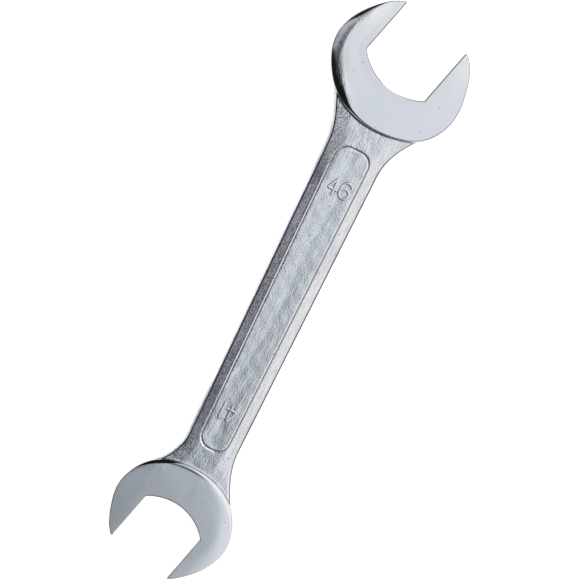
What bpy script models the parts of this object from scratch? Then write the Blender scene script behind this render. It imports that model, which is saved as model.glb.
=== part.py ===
"""Double open-ended wrench for 46 mm and 41 mm nuts, modelled as the one drop forging that it is.

The shank lies along X with its small head at -X, its large head at +X and the parting plane level.
The finished wrench lies flat on Z = 0 with the centre of its outline over the origin.
Every shape is worked out in a head's outward frame: x runs from mid-shank to that head, y to its left.
"""

import math
from dataclasses import dataclass

import bmesh
import bpy
import numpy as np
from mathutils import Matrix, Vector

# Jaws: the widths across flats are the sizes of the nuts that they take
LARGE_JAW_WIDTH = 0.046
SMALL_JAW_WIDTH = 0.041
JAW_TURN = math.radians(-15)
JAW_CHAMFER = 0.0004

# Where the jaws lie: seat to seat along the shank, and how far a seat lies to the right of its centre line
SEAT_DISTANCE = 0.29255
SEAT_OFFSET = 0.0015

# Throats: radius, depth behind the seat, and how far the arc's centre lies to the left of the jaw's axis
LARGE_THROAT_RADIUS = 0.0352
LARGE_THROAT_DEPTH = 0.0087
LARGE_THROAT_SHIFT = -0.0007
SMALL_THROAT_RADIUS = 0.0306
SMALL_THROAT_DEPTH = 0.0078
SMALL_THROAT_SHIFT = 0.0009

# Heads: full thickness, the band left along the parting line, and the ground roll of the rim
HEAD_THICKNESS = 0.015
HEAD_EDGE_THICKNESS = 0.005
RIM_WALL_RUN = 0.0009
RIM_ROLL_DROP = 0.0015
JAW_ROLL_WIDTH = 0.005
STEP_ROLL_WIDTH = 0.0012

# Shank: widths where its straight edges would reach the seats, and thicknesses across ridge, side and edge
SHANK_WIDTH_AT_LARGE_SEAT = 0.0381
SHANK_WIDTH_AT_SMALL_SEAT = 0.0313
SHANK_THICKNESS = 0.011
SHANK_SIDE_THICKNESS = 0.0068
SHANK_EDGE_THICKNESS = 0.004
SIDE_RUN = 0.0012
FLANK_WIDTH = 0.0055
FLANK_WIDTH_AT_HEAD = 0.0085

# Necks: how long each edge takes to flare out to its head, and its slope where it meets the rim
LARGE_LEFT_FLARE_LENGTH = 0.031
LARGE_RIGHT_FLARE_LENGTH = 0.0285
SMALL_LEFT_FLARE_LENGTH = 0.031
SMALL_RIGHT_FLARE_LENGTH = 0.024
LARGE_LEFT_FLARE_SLOPE = math.tan(math.radians(26))
LARGE_RIGHT_FLARE_SLOPE = math.tan(math.radians(38))
SMALL_LEFT_FLARE_SLOPE = math.tan(math.radians(29))
SMALL_RIGHT_FLARE_SLOPE = math.tan(math.radians(41))

# Sunk panel on each face: its ends lie this far short of the seats
PANEL_SETBACK_AT_LARGE = 0.0496
PANEL_SETBACK_AT_SMALL = 0.0452
PANEL_LAND_WIDTH = 0.0005
PANEL_DEPTH = 0.0009
PANEL_DISH = 0.0005
PANEL_WALL_RUN = 0.0012
PANEL_CORNER_RADIUS = 0.0085

# Cutters run this far past what they cut
OVERRUN = 0.002

# Radius of a head's rim as shares of its jaw width, every 20 degrees round the seat from the jaw's mouth
LARGE_RIM_SHARES = (0.80, 0.920, 0.957, 0.934, 0.935, 0.912, 0.845, 0.798, 0.768,
                    0.757, 0.773, 0.825, 0.911, 0.953, 0.951, 0.942, 0.968, 0.900)
SMALL_RIM_SHARES = (0.83, 0.905, 0.887, 0.867, 0.881, 0.893, 0.865, 0.836, 0.795,
                    0.764, 0.764, 0.817, 0.882, 0.921, 0.940, 0.922, 0.938, 0.905)
MOUTH_REACH_SHARE = 1.15
ROOT_REACH_SHARE = 0.36

# Angles round the seat, from the jaw's mouth: where the neck's edges meet the rim, and where the rim narrows
LEFT_JOINT_ANGLE = math.radians(141)
RIGHT_JOINT_ANGLE = math.radians(238.5)
STEP_MIDDLE_ANGLE = math.radians(190)
STEP_HALF_ANGLE = math.radians(20)
JAW_ROLL_HALF_ANGLE = math.radians(75)

# Facets that meet at more than this are left as sharp edges
SHARP_ANGLE = math.radians(25)

# How finely curves are divided
RIM_POINTS = 96
ROLL_RINGS = 4
FLARE_STATIONS = 12
THROAT_POINTS = 24
CORNER_POINTS = 8
DISH_RINGS = 4


@dataclass(frozen=True)
class Head:
    """One end of the wrench, in its outward frame; facing turns that frame into the wrench's own."""

    name: str
    jaw_width: float
    rim_shares: tuple
    shank_width: float
    left_flare_length: float
    left_flare_slope: float
    right_flare_length: float
    right_flare_slope: float
    panel_setback: float
    throat_radius: float
    throat_depth: float
    throat_shift: float
    facing: float

    @property
    def seat(self):
        return Vector((SEAT_DISTANCE / 2, -SEAT_OFFSET))

    @property
    def to_wrench(self):
        return Matrix.Rotation(self.facing, 4, "Z")


LARGE = Head("large", LARGE_JAW_WIDTH, LARGE_RIM_SHARES, SHANK_WIDTH_AT_LARGE_SEAT,
             LARGE_LEFT_FLARE_LENGTH, LARGE_LEFT_FLARE_SLOPE,
             LARGE_RIGHT_FLARE_LENGTH, LARGE_RIGHT_FLARE_SLOPE, PANEL_SETBACK_AT_LARGE,
             LARGE_THROAT_RADIUS, LARGE_THROAT_DEPTH, LARGE_THROAT_SHIFT, 0.0)
SMALL = Head("small", SMALL_JAW_WIDTH, SMALL_RIM_SHARES, SHANK_WIDTH_AT_SMALL_SEAT,
             SMALL_LEFT_FLARE_LENGTH, SMALL_LEFT_FLARE_SLOPE,
             SMALL_RIGHT_FLARE_LENGTH, SMALL_RIGHT_FLARE_SLOPE, PANEL_SETBACK_AT_SMALL,
             SMALL_THROAT_RADIUS, SMALL_THROAT_DEPTH, SMALL_THROAT_SHIFT, math.pi)


def clear_scene():
    for thing in list(bpy.data.objects):
        bpy.data.objects.remove(thing, do_unlink=True)


def smooth_step(share):
    share = np.clip(share, 0, 1)
    return share * share * (3 - 2 * share)


def ring_spline(shares, angles):
    """Periodic cubic spline through evenly spaced shares, read at the given angles."""
    count = len(shares)
    damping = (2 + np.cos(2 * np.pi * np.arange(count) / count)) / 3
    knots = np.fft.ifft(np.fft.fft(shares) / damping).real
    place = np.asarray(angles) / (2 * np.pi) * count
    first = np.floor(place).astype(int)
    f = place - first
    weights = ((1 - f) ** 3, 3 * f**3 - 6 * f**2 + 4, -3 * f**3 + 3 * f**2 + 3 * f + 1, f**3)
    return sum(knots[(first - 1 + k) % count] * w / 6 for k, w in enumerate(weights))


def rim_outline(head, angles):
    """Points of a head's rim in its outward frame, counter-clockwise as the angles grow."""
    radius = head.jaw_width * ring_spline(head.rim_shares, angles)
    turned = angles + JAW_TURN
    around = np.stack([np.cos(turned), np.sin(turned)], axis=1)
    return np.array(head.seat) + radius[:, None] * around


def outward_normals(outline):
    """Unit normals of a closed counter-clockwise outline, pointing out of it."""
    along = np.roll(outline, -1, axis=0) - np.roll(outline, 1, axis=0)
    normals = np.stack([along[:, 1], -along[:, 0]], axis=1)
    return normals / np.linalg.norm(normals, axis=1)[:, None]


def add_object(name, mesh, parent):
    thing = bpy.data.objects.new(name, mesh)
    bpy.context.scene.collection.objects.link(thing)
    thing.parent = parent
    return thing


def ring_mesh(name, rings):
    """Closed mesh through a stack of rings of equal counts, with flat caps on the first and the last."""
    build = bmesh.new()
    layers = [[build.verts.new(point) for point in ring] for ring in rings]
    for near, far in zip(layers, layers[1:]):
        for i in range(len(near)):
            j = (i + 1) % len(near)
            build.faces.new((near[i], near[j], far[j], far[i]))
    build.faces.new(list(reversed(layers[0])))
    build.faces.new(layers[-1])
    bmesh.ops.recalc_face_normals(build, faces=build.faces)
    mesh = bpy.data.meshes.new(name)
    build.to_mesh(mesh)
    build.free()
    mesh.shade_smooth()
    mesh.set_sharp_from_angle(angle=SHARP_ANGLE)
    return mesh


def level_ring(outline, height):
    return [(x, y, height) for x, y in outline]


def make_head_blank(head, parent):
    """Forged disc: a band along the parting line, a steep wall, then a roll ground into the flat face.

    The roll is a parabola, wide along the jaws and narrow where the rim stands over the neck.
    """
    angles = np.arange(RIM_POINTS) * 2 * np.pi / RIM_POINTS
    outline = rim_outline(head, angles)
    normals = outward_normals(outline)
    from_step = np.abs(angles - STEP_MIDDLE_ANGLE)
    widening = smooth_step((from_step - STEP_HALF_ANGLE) / (JAW_ROLL_HALF_ANGLE - STEP_HALF_ANGLE))
    roll_width = STEP_ROLL_WIDTH + (JAW_ROLL_WIDTH - STEP_ROLL_WIDTH) * widening
    levels = [(np.zeros(RIM_POINTS), HEAD_EDGE_THICKNESS / 2)]
    for ring in range(ROLL_RINGS + 1):
        share = ring / ROLL_RINGS
        inset = RIM_WALL_RUN + roll_width * share
        levels.append((inset, HEAD_THICKNESS / 2 - RIM_ROLL_DROP * (1 - share) ** 2))
    upper = [level_ring(outline - normals * inset[:, None], height) for inset, height in levels]
    lower = [level_ring(outline - normals * inset[:, None], -height) for inset, height in levels]
    mesh = ring_mesh(head.name + "_head_blank", lower[::-1] + upper)
    mesh.transform(head.to_wrench)
    return hide_helper(add_object(mesh.name, mesh, parent))


def straight_half_width(head, x):
    """Half the shank's width by the straight taper between the two seats, in the head's outward frame."""
    other = SMALL if head is LARGE else LARGE
    middle = (head.shank_width + other.shank_width) / 2
    return (middle + (head.shank_width - middle) * x / head.seat.x) / 2


def root_reach(head):
    """Where the shank ends, hidden in the head's disc and short of its throat."""
    return head.seat.x - head.jaw_width * ROOT_REACH_SHARE


def flared_half_width(head, x, joint, length, slope):
    """Straight taper, then a cubic that leaves it smoothly and meets the head's rim at the joint with its slope.

    Past the joint the edge draws in again to the root, where the head's disc hides it.
    """
    start = joint.x - length
    low = straight_half_width(head, start)
    rise = abs(joint.y) - low
    if x <= start:
        return straight_half_width(head, x)
    if x > joint.x:
        root = root_reach(head)
        return abs(joint.y) + (straight_half_width(head, root) - abs(joint.y)) * (x - joint.x) / (root - joint.x)
    taper = (straight_half_width(head, joint.x) - low) / length
    t = (x - start) / length
    return (low + rise * (3 * t**2 - 2 * t**3)
            + length * (taper * (t**3 - 2 * t**2 + t) + slope * (t**3 - t**2)))


def neck_joints(head):
    """Where the neck's left and right edges meet the head's rim."""
    ends = rim_outline(head, np.array([LEFT_JOINT_ANGLE, RIGHT_JOINT_ANGLE]))
    return Vector(ends[0]), Vector(ends[1])


def half_widths(head, x):
    """Left and right half-widths of shank and neck at a station."""
    left, right = neck_joints(head)
    return (flared_half_width(head, x, left, head.left_flare_length, head.left_flare_slope),
            flared_half_width(head, x, right, head.right_flare_length, head.right_flare_slope))


def flank_width(head, x):
    """Flanks keep their width along the shank and widen over the neck."""
    left, right = neck_joints(head)
    start = min(left.x - head.left_flare_length, right.x - head.right_flare_length)
    share = smooth_step((x - start) / (max(left.x, right.x) - start))
    return FLANK_WIDTH + (FLANK_WIDTH_AT_HEAD - FLANK_WIDTH) * float(share)


def side_points(half_width, flank):
    """One side of a section from bottom to top, as (distance from the centre line, height)."""
    foot = half_width - SIDE_RUN
    upper = [(half_width, SHANK_EDGE_THICKNESS / 2),
             (foot, SHANK_SIDE_THICKNESS / 2),
             (foot - flank, SHANK_THICKNESS / 2)]
    return [(across, -height) for across, height in reversed(upper)] + upper


def shank_section(head, x, left, right, flank):
    """Closed section of twelve points, which starts at the wrench's left edge at either head."""
    left_side = [(x, across, height) for across, height in side_points(left, flank)]
    right_side = [(x, -across, height) for across, height in side_points(right, flank)]
    turned = [head.to_wrench @ Vector(point) for point in left_side + right_side[::-1]]
    return turned if head is LARGE else turned[::-1]


def neck_sections(head):
    """Sections from the end of the straight shank to the root, with one at the end of each neck edge."""
    left, right = neck_joints(head)
    start = min(left.x - head.left_flare_length, right.x - head.right_flare_length)
    first, last = sorted((left.x, right.x))
    stations = [*np.linspace(start, first, FLARE_STATIONS), last, root_reach(head)]
    return [shank_section(head, x, *half_widths(head, x), flank_width(head, x)) for x in stations]


def make_shank(parent, material):
    """Bevelled bar lofted from root to root, which flares at both necks to meet the heads."""
    sections = neck_sections(SMALL)[::-1] + neck_sections(LARGE)
    mesh = ring_mesh("wrench_forging", sections)
    mesh.materials.append(material)
    return add_object(mesh.name, mesh, parent)


def jaw_outline(head, grow):
    """Jaw cutter's outline grown by a margin: two parallel flats, open past the tips, and a round throat."""
    half = head.jaw_width / 2 + grow
    radius = head.throat_radius + grow
    centre = head.throat_radius - head.throat_depth
    reach = head.jaw_width * MOUTH_REACH_SHARE
    left = math.pi - math.asin((half - head.throat_shift) / radius)
    right = math.pi + math.asin((half + head.throat_shift) / radius)
    turn = np.linspace(left, right, THROAT_POINTS + 1)
    throat = np.stack([centre + radius * np.cos(turn), head.throat_shift + radius * np.sin(turn)], axis=1)
    return np.concatenate([[(reach, half)], throat, [(reach, -half)]])


def make_jaw_cutter(head, parent):
    """Broached opening with its edges chamfered at both faces."""
    face = HEAD_THICKNESS / 2
    levels = ((face + OVERRUN, JAW_CHAMFER + OVERRUN), (face - JAW_CHAMFER, 0.0))
    rings = [level_ring(jaw_outline(head, grow), -height) for height, grow in levels]
    rings += [level_ring(jaw_outline(head, grow), height) for height, grow in reversed(levels)]
    mesh = ring_mesh(head.name + "_jaw_cutter", rings)
    mesh.transform(head.to_wrench @ Matrix.Translation((*head.seat, 0)) @ Matrix.Rotation(JAW_TURN, 4, "Z"))
    return hide_helper(add_object(mesh.name, mesh, parent))


def panel_end(head, inset):
    """Rounded end of the sunk panel, from its right side to its left, drawn in by an inset."""
    end = head.seat.x - head.panel_setback - inset
    half = straight_half_width(head, end) - SIDE_RUN - FLANK_WIDTH - PANEL_LAND_WIDTH - inset
    radius = min(PANEL_CORNER_RADIUS, half)
    turn = np.linspace(0, np.pi / 2, CORNER_POINTS)
    corner = np.stack([end - radius + radius * np.cos(turn), half - radius + radius * np.sin(turn)], axis=1)
    return np.concatenate([corner[::-1] * (1, -1), corner])


def panel_outline(inset):
    """Closed outline of the sunk panel in the wrench's own frame, counter-clockwise."""
    return np.concatenate([panel_end(LARGE, inset), -panel_end(SMALL, inset)])


def make_panel_cutter(side, parent):
    """Drafted recess whose floor dishes by a parabola towards the centre line. Side is 1 above, -1 below."""
    ridge = SHANK_THICKNESS / 2
    draft = PANEL_WALL_RUN / PANEL_DEPTH
    levels = [(-OVERRUN * draft, ridge + OVERRUN), (PANEL_WALL_RUN, ridge - PANEL_DEPTH)]
    half_floor = straight_half_width(LARGE, 0) - SIDE_RUN - FLANK_WIDTH - PANEL_LAND_WIDTH - PANEL_WALL_RUN
    for ring in range(1, DISH_RINGS + 1):
        share = ring / (DISH_RINGS + 1)
        depth = PANEL_DEPTH + PANEL_DISH * (1 - (1 - share) ** 2)
        levels.append((PANEL_WALL_RUN + half_floor * share, ridge - depth))
    rings = [level_ring(panel_outline(inset), side * height) for inset, height in levels]
    mesh = ring_mesh("upper_panel_cutter" if side > 0 else "lower_panel_cutter", rings)
    return hide_helper(add_object(mesh.name, mesh, parent))


def hide_helper(thing):
    thing.hide_render = True
    thing.display_type = "WIRE"
    return thing


def combine(target, other, operation):
    step = target.modifiers.new(operation.lower() + "_" + other.name, "BOOLEAN")
    step.object = other
    step.operation = operation
    step.solver = "EXACT"


def chrome_on_forged_steel():
    material = bpy.data.materials.new("chrome_plated_forged_steel")
    material.use_nodes = True
    shader = material.node_tree.nodes["Principled BSDF"]
    shader.inputs["Base Color"].default_value = (0.62, 0.64, 0.68, 1)
    shader.inputs["Metallic"].default_value = 1
    shader.inputs["Roughness"].default_value = 0.28
    return material


def lay_on_ground(frame, forging):
    """Moves the frame so that the wrench's box stands on Z = 0 with its middle over the origin."""
    bpy.context.view_layer.update()
    evaluated = forging.evaluated_get(bpy.context.evaluated_depsgraph_get())
    corners = [evaluated.matrix_world @ Vector(corner) for corner in evaluated.bound_box]
    low = [min(corner[axis] for corner in corners) for axis in range(3)]
    high = [max(corner[axis] for corner in corners) for axis in range(3)]
    frame.location = (-(low[0] + high[0]) / 2, -(low[1] + high[1]) / 2, -low[2])


def main():
    clear_scene()
    frame = bpy.data.objects.new("wrench_frame", None)
    bpy.context.scene.collection.objects.link(frame)
    forging = make_shank(frame, chrome_on_forged_steel())
    for head in (LARGE, SMALL):
        combine(forging, make_head_blank(head, frame), "UNION")
    for side in (1, -1):
        combine(forging, make_panel_cutter(side, frame), "DIFFERENCE")
    for head in (LARGE, SMALL):
        combine(forging, make_jaw_cutter(head, frame), "DIFFERENCE")
    lay_on_ground(frame, forging)


main()
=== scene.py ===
"""Double open-ended wrench for 46 mm and 41 mm nuts: its looks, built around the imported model.

The forging is one closed mesh. It is worked out in millimetres in the wrench's own frame, with X along the
shank to the large head and the parting plane at zero; each head is drawn in its outward frame, x towards that
head and y to its left. What is drawn above the parting plane is mirrored below it.
"""

import math
from dataclasses import dataclass
from functools import partialmethod

import bmesh
import bpy
import numpy as np
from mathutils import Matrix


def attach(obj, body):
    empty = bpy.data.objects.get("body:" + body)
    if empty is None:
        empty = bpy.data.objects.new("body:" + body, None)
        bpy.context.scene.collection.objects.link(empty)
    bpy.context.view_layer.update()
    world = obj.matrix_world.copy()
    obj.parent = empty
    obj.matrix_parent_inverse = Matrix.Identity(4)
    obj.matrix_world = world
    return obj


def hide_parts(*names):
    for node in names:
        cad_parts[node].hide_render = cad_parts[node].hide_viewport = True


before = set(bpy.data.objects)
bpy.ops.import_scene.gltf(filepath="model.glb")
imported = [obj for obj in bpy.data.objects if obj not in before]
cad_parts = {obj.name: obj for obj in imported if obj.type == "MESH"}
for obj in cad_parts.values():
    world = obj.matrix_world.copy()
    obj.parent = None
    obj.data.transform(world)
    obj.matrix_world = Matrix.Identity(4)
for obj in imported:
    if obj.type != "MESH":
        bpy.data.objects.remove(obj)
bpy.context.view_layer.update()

# The wrench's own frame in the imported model, in millimetres
TO_MODEL = np.array([-3.591, 2.370, 7.5])
MM = 0.001

# Seats of the jaws and the turn of the jaws from the shank
SEAT = np.array([146.275, -1.5])
JAW_TURN = math.radians(-15)
NOSE_RADIUS = 0.35

# Heads: half thickness, half of the band at the parting line, the steep wall, and how far in the crown reaches
FACE_HEIGHT = 7.5
HEAD_BAND = 2.5
WALL_RUN = 0.15
WALL_TOP = 6.0
CROWN_REACH = 10.0

# Shank and necks
MIDDLE_WIDTH = 34.7
WIDTH_GAIN = 3.4
RIDGE_HEIGHT = 5.5
SIDE_HEIGHT = 3.4
SIDE_AT_HEAD = 5.2
FLANK_FADE = 25.0
SHANK_BAND = 2.0
BAND_RISE = 14.0
SIDE_RUN = 1.2
FLANK = {1: 5.5, -1: 5.05}
FLANK_AT_HEAD = 8.5
STEP_FILLETS = ((0.8, 0.16), (1.3, 0.22))

# Sunk panel: inset of its lip from the silhouette, its floor, and the groove round that. The floor is shallower
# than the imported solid's, whose depth is 0.9 and dish 0.5, so the two lie up to 1.07 apart.
PANEL_INSET = 6.775
PANEL_SHIFT = -0.275
PANEL_DEPTH = 0.3
PANEL_DISH = 0.05
PANEL_CREASE = 0.07
GROOVE_DEPTH = 0.52
GROOVE_AT = 0.62
GROOVE_END = 1.3
PANEL_CORNER = 8.5

# Angles round the seat from the jaw's mouth, where the neck's two edges and its middle meet the head
LEFT_JOINT = math.radians(141)
RIGHT_JOINT = math.radians(238.5)
STEP_MIDDLE = math.radians(190)


@dataclass(frozen=True)
class Head:
    """One head: facing is 1 where its outward frame is the wrench's own, and -1 where that is turned half round."""

    jaw_width: float
    rim_shares: tuple
    left_flare: tuple
    right_flare: tuple
    panel_end: float
    throat: tuple
    chamfer: float
    roll: tuple
    fade_leads: tuple
    facing: int


LARGE = Head(46.0, (0.80, 0.920, 0.957, 0.937, 0.939, 0.917, 0.846, 0.798, 0.768,
                    0.757, 0.773, 0.825, 0.911, 0.953, 0.951, 0.942, 0.968, 0.900),
             (31.0, 26.0), (28.5, 38.0), SEAT[0] - 49.6, (35.2, 8.7, -0.7), 0.4,
             ((20, 0.4, 0.4, 2, 0, 0, 0.9), (50, 0.5, 0.5, 2, 0, 0, 0.9), (60, 3.6, 1.1, 2.6, 0, 0, 0.9),
              (72, 5.4, 1.6, 2.6, 0, 0, 0.9), (90, 8.0, 2.0, 2.2, 0, 0, 0.8), (115, 8.3, 1.95, 2.2, 0, 0, 0.9),
              (126, 8.1, 1.9, 2.2, 0, 0, 0.9), (136, 7.2, 1.75, 2.1, 0, 0, 0.9), (146, 5.6, 1.6, 2, 0, 0, 0.9),
              (154, 4.0, 1.3, 1.9, 0, 0, 0.9), (166, 2.0, 1.1, 1.6, 0, 0, 0.3),
              (185, 1.2, 1.4, 2, 0, 0, 0), (212, 0.8, 1.2, 2, 0, 0, 0.1), (235, 0.6, 1.0, 2, 0, 0, 0.5),
              (245, 0.5, 0.8, 2, 0, 0, 0.9), (340, 0.5, 0.6, 2, 0, 0, 0.9)), (32.0, 0.0), 1)
SMALL = Head(41.0, (0.83, 0.905, 0.887, 0.867, 0.881, 0.896, 0.868, 0.837, 0.801,
                    0.773, 0.773, 0.824, 0.884, 0.921, 0.940, 0.922, 0.938, 0.905),
             (31.0, 29.0), (24.0, 41.0), SEAT[0] - 45.2, (30.6, 7.8, 0.9), 0.2,
             ((20, 0.4, 0.4, 2, 0, 0, 0.1), (55, 0.6, 0.5, 2, 0.25, 0, 0), (75, 0.6, 0.5, 2, 0.5, 0, 0),
              (110, 0.8, 0.6, 2, 0.6, 0, 0.3), (122, 1.6, 0.8, 2, 0.5, 0, 0.8), (130, 2.1, 1.0, 2, 0.4, 0, 0.8),
              (145, 2.7, 1.05, 1.7, 0.3, 0, 0.5), (165, 2.6, 1.0, 1.7, 0.1, 0, 0.5),
              (178, 1.8, 0.8, 1.7, 0.05, 0.02, 0.5), (190, 1.2, 0.6, 1.7, 0.02, 0.05, 0.5),
              (200, 0.9, 0.5, 1.7, 0, 0.06, 0.55), (214, 0.9, 0.45, 1.6, 0, 0.05, 0.7),
              (223, 2.0, 1.0, 1.1, 0, 0.03, 1), (230, 2.8, 1.35, 1.1, 0, 0, 1), (240, 2.8, 1.2, 1.4, 0, 0, 1),
              (254, 1.9, 0.75, 1.4, 0, 0, 1), (264, 0.8, 0.5, 1.7, 0, 0, 0.6), (272, 0.4, 0.4, 2, 0, 0, 0.1),
              (340, 0.4, 0.4, 2, 0, 0, 0.1)), (16.0, 16.0), -1)


# ---- plain curves

def smooth(share):
    """Cubic step: three times the square less twice the cube of a share held between 0 and 1."""
    share = np.clip(share, 0, 1)
    return share * share * (3 - 2 * share)


def rounded(profile, at, span, start=None):
    """Profile averaged over a short span about each place, which rounds its corners.

    Where a start is given, the profile is carried past its own beginning turned half round, so it keeps that value.
    """
    total = 0
    steps = np.linspace(-span, span, 9)
    for step in steps:
        place = at + step
        value = profile(np.abs(place)) if start is not None else profile(place)
        total = total + (np.where(place < 0, 2 * start - value, value) if start is not None else value)
    return total / len(steps)


def ring_spline(shares, angles):
    """Periodic cubic spline through evenly spaced shares, read at the given angles."""
    count = len(shares)
    damping = (2 + np.cos(2 * np.pi * np.arange(count) / count)) / 3
    knots = np.fft.ifft(np.fft.fft(shares) / damping).real
    place = np.asarray(angles) / (2 * np.pi) * count
    first = np.floor(place).astype(int)
    f = place - first
    weights = ((1 - f) ** 3, 3 * f**3 - 6 * f**2 + 4, -3 * f**3 + 3 * f**2 + 3 * f + 1, f**3)
    return sum(knots[(first - 1 + k) % count] * w / 6 for k, w in enumerate(weights))


def pair(x, y):
    return np.stack([x, y], axis=-1)


def unit(vectors):
    return vectors / np.maximum(np.linalg.norm(vectors, axis=-1), 1e-9)[..., None]


def to_right(vectors):
    """Vectors turned a quarter to the right."""
    return pair(vectors[..., 1], -vectors[..., 0])


def toward(angles):
    return pair(np.cos(angles), np.sin(angles))


def from_jaw(points):
    """Points of a jaw's frame, x out of its mouth, in the head's outward frame."""
    cos, sin = math.cos(JAW_TURN), math.sin(JAW_TURN)
    x, y = points[..., 0], points[..., 1]
    return SEAT + pair(cos * x - sin * y, sin * x + cos * y)


def rim_in_jaw(head, angles):
    """Rim of a head in its jaw's frame: radius is the jaw's width times a spline of the angle round the seat."""
    return (head.jaw_width * ring_spline(head.rim_shares, angles))[..., None] * toward(angles)


def rim_normals(head, angles):
    """Outward normals of the rim in the jaw's frame: the rim's own direction turned a quarter to the right."""
    along = rim_in_jaw(head, angles + 1e-3) - rim_in_jaw(head, angles - 1e-3)
    return unit(to_right(along))


def chain_distance(points, chain):
    """Shortest distance from each point to a chain of straight pieces."""
    start, run = chain[:-1], np.diff(chain, axis=0)
    size = np.maximum((run * run).sum(-1), 1e-12)
    gap = points.reshape(-1, 1, 2) - start
    share = np.clip((gap * run).sum(-1) / size, 0, 1)
    gap = gap - share[..., None] * run
    return np.sqrt((gap * gap).sum(-1)).min(1).reshape(points.shape[:-1])


def blend_rows(near, far, shares):
    """Grid between two rows of points: each row of it is the near one moved a share of the way to the far one."""
    return near[None] + (far - near)[None] * np.asarray(shares)[:, None, None]


# ---- shank and necks

def straight_half_width(x):
    return (MIDDLE_WIDTH + WIDTH_GAIN * x / SEAT[0]) / 2


def joint(head, side):
    """Where the neck's edge meets the rim in the head's outward frame; side is 1 on its left, -1 on its right."""
    angle = LEFT_JOINT if side > 0 else RIGHT_JOINT
    return from_jaw(rim_in_jaw(head, np.array(angle)))


def flared(head, x, side):
    """Half width of one end: the straight taper, then a cubic that meets the rim with its slope."""
    length, slope = head.left_flare if side > 0 else head.right_flare
    end = joint(head, side)
    start = end[0] - length
    low = straight_half_width(head.facing * start)
    taper = WIDTH_GAIN * head.facing / SEAT[0] / 2
    t = np.clip((x - start) / length, 0, 1)
    bend = taper * (t**3 - 2 * t**2 + t) + math.tan(math.radians(slope)) * (t**3 - t**2)
    return np.where(x <= start, straight_half_width(head.facing * x),
                    low + (abs(end[1]) - low) * (3 * t**2 - 2 * t**3) + length * bend)


def half_width(x, side):
    """Half width of the wrench at X, on its +Y side (1) or -Y side (-1)."""
    return np.where(x >= 0, flared(LARGE, x, side), flared(SMALL, -x, -side))


def flank_width(x, side):
    """Flanks keep one width along the shank and widen over each neck."""
    widths = []
    for head in (LARGE, SMALL):
        ends = [joint(head, side)[0] for side in (1, -1)]
        start = min(ends[0] - head.left_flare[0], ends[1] - head.right_flare[0])
        widths.append((FLANK_AT_HEAD - FLANK[side]) * smooth((head.facing * x - start) / (max(ends) - start)))
    return FLANK[side] + widths[0] + widths[1]


def past_joint(x, side):
    """Distance past the nearer head's joint on one side, less than 0 on the shank."""
    return np.abs(x) - np.where(x >= 0, joint(LARGE, side)[0], joint(SMALL, -side)[0])


def band_height(x, side):
    """Half height of the band along the parting line: low on the shank, as high as the heads' at their joints."""
    return SHANK_BAND + (HEAD_BAND - SHANK_BAND) * smooth((past_joint(x, side) + BAND_RISE) / BAND_RISE)


def side_height(x, side):
    """Height of the flank's foot, which climbs nearly to the ridge before each head, and the share of that climb."""
    lead = np.where(x >= 0, LARGE.fade_leads[side < 0], SMALL.fade_leads[side > 0])
    share = (past_joint(x, side) + lead + FLANK_FADE) / FLANK_FADE
    fade = sum(np.clip(share + shift, 0, 1) for shift in (-0.2, -0.1, 0, 0.1, 0.2)) / 5
    return SIDE_HEIGHT + (SIDE_AT_HEAD - SIDE_HEIGHT) * fade, fade


def by_side(function, x, side):
    """A function of X and side, each point's value taken on the side that it lies on."""
    return np.where(side > 0, function(x, 1), function(x, -1))


def inside_edge(points):
    """Distance in from the silhouette, measured across the shank, and the side that it is measured on."""
    x, y = points[..., 0], points[..., 1]
    side = np.where(y >= 0, 1, -1)
    return by_side(half_width, x, side) - np.abs(y), side


def waviness(points):
    """Hammered unevenness of the forged faces: a few long crossing waves, some hundredths of a millimetre high."""
    x, y = points[..., 0], points[..., 1]
    wave = np.sin(0.31 * x + 0.57 * y) + np.sin(0.62 * x - 0.43 * y + 1.3) + 0.7 * np.sin(0.83 * y + 0.11 * x + 0.4)
    return 0.012 * (wave + 0.8 * np.sin(0.19 * x + 2.0) + 0.6 * np.sin(1.31 * x + 0.9 * y))


def section_height(points):
    """Height of the shank's surface: band, steep side, flank, then level between the ridges, creases rounded.

    Flank and level meet in a soft minimum, whose softness grows towards the heads as the flank fades.
    """
    x = points[..., 0]
    inside, side = inside_edge(points)
    band, flank = by_side(band_height, x, side), by_side(flank_width, x, side)
    foot, fade = by_side(side_height, x, side)
    ridge_soft = 0.012 + 0.14 * fade

    def profile(across):
        steep = band + (foot - band) * across / SIDE_RUN
        slope = foot + (RIDGE_HEIGHT - foot) * (across - SIDE_RUN) / flank
        top = slope - ridge_soft * np.logaddexp(0, (slope - RIDGE_HEIGHT) / ridge_soft)
        return np.where(across < SIDE_RUN, steep, top)

    return rounded(profile, np.maximum(inside, 0), 0.45, band) + waviness(points) * smooth(inside / 3)


def seam_plan(head, angles):
    """Foot of the step in the head's outward frame: the rim drawn in as far as its wall leans at that height."""
    rim = rim_in_jaw(head, angles)
    height = section_height(head.facing * from_jaw(rim))
    inset = WALL_RUN * np.clip((height - HEAD_BAND) / (WALL_TOP - HEAD_BAND), 0, 1)
    return from_jaw(rim - inset[..., None] * rim_normals(head, angles))


def crossings(head, side):
    """Angles at which the step meets the foot and the ridge of the flank on one side."""
    angles = np.linspace(LEFT_JOINT if side > 0 else RIGHT_JOINT, STEP_MIDDLE, 600)
    seam = head.facing * seam_plan(head, angles)
    inside, _ = inside_edge(seam)
    foot = np.interp(0, np.maximum.accumulate(inside - SIDE_RUN), angles)
    past_ridge = inside - SIDE_RUN - flank_width(seam[:, 0], side * head.facing)
    return foot, np.interp(0, np.maximum.accumulate(past_ridge), angles)


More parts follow.
